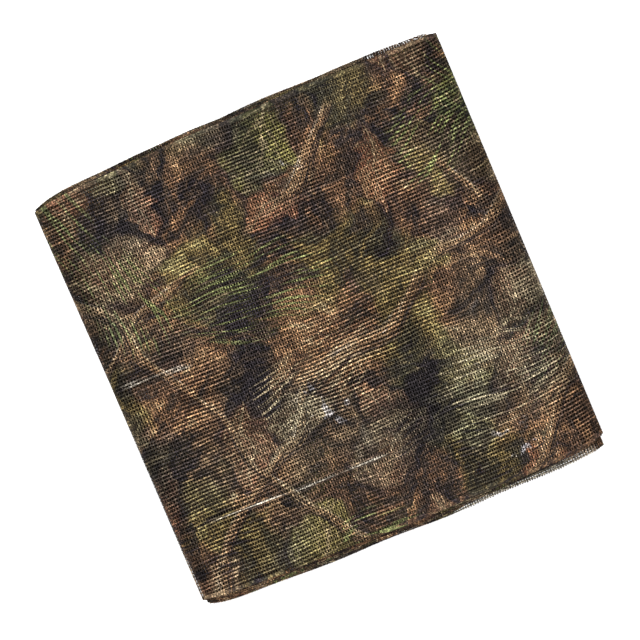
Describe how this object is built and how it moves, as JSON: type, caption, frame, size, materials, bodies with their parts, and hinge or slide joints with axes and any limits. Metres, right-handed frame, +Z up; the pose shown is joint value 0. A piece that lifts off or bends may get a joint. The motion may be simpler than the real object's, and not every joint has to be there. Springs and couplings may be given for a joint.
{
  "type": "folded camouflage net",
  "caption": "Length of open camouflage mesh cloth folded back and forth into a flat square packet, with round folds at two sides and raw edges at the other two.",
  "frame": {"origin": "middle of the packet's underside", "axes": "+X from the left fold to the right fold, +Y along the folds from the near raw edge to the far one, +Z up through the layers"},
  "size_m": [0.3033, 0.3158, 0.0174],
  "materials": {
    "printed_mesh": "dull printed mesh in earth browns, leaf greens and black"
  },
  "bodies": {
    "root": {"net": "printed_mesh"}
  },
  "joints": []
}
